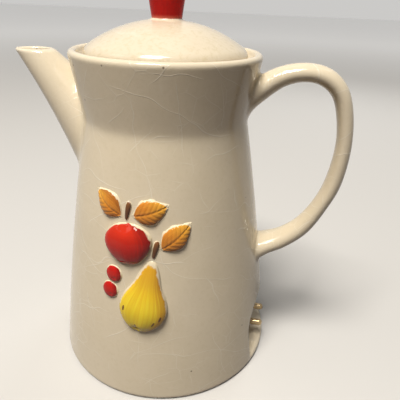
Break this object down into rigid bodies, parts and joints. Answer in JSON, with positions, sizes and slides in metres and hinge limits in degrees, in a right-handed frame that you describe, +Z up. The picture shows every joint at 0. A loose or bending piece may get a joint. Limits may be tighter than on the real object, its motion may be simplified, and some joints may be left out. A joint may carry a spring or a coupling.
{
  "type": "electric coffee pot",
  "caption": "Tapered glazed ceramic coffee pot with a straight spout, loop handle, raised fruit relief, lift-off lid with a knob, and a two-pin heater inlet in its base.",
  "frame": {"origin": "centre of the foot, on the surface that the pot stands on", "axes": "+Z up, +X towards the handle and the inlet under it, -X towards the spout, -Y is the face with the raised relief"},
  "size_m": [0.2118, 0.152, 0.2483],
  "materials": {
    "cream_glaze": "glossy cream glaze over white earthenware, finely crazed, with a few iron specks",
    "red_glaze": "glossy hand-painted red glaze",
    "yellow_glaze": "glossy hand-painted yellow glaze, shaded amber, with brown dashes",
    "amber_glaze": "glossy hand-painted amber glaze",
    "brown_glaze": "glossy hand-painted brown glaze",
    "brass": "turned brass, dulled",
    "mica": "pressed mica sheet",
    "plated_steel": "nickel-plated steel",
    "sleeving": "woven glass sleeving",
    "resistance_alloy": "oxidised nickel-chromium ribbon",
    "insulation": "compressed mineral-fibre pad",
    "spring_steel": "oiled spring wire",
    "aluminium_sheet": "pressed aluminium sheet"
  },
  "bodies": {
    "pot": {"pot_body": "cream_glaze", "pot_skirt": "cream_glaze", "spout": "cream_glaze", "handle": "cream_glaze", "relief_pear": "yellow_glaze", "relief_apple": "red_glaze", "relief_leaves": "amber_glaze", "relief_berries": "red_glaze", "relief_stems": "brown_glaze", "inlet_pins": "brass", "pin_washers": "mica", "pin_nuts": "brass", "ring_terminals": "plated_steel", "lead_wires": "sleeving", "element_ribbon": "resistance_alloy", "element_former": "mica", "element_rivets": "brass", "mica_upper": "mica", "mica_lower": "mica", "insulating_pad": "insulation", "clamp_plate": "plated_steel", "pressure_spring": "spring_steel", "base_plate": "aluminium_sheet", "base_screws": "plated_steel", "screw_bushes": "brass", "screw_washers": "plated_steel"},
    "lid": {"lid": "cream_glaze", "lid_knob": "red_glaze"}
  },
  "joints": [
    {"name": "lid_lift", "type": "slide", "parent": "pot", "child": "lid", "axis": [0, 0, 1], "range_m": [0, 0.032]}
  ]
}
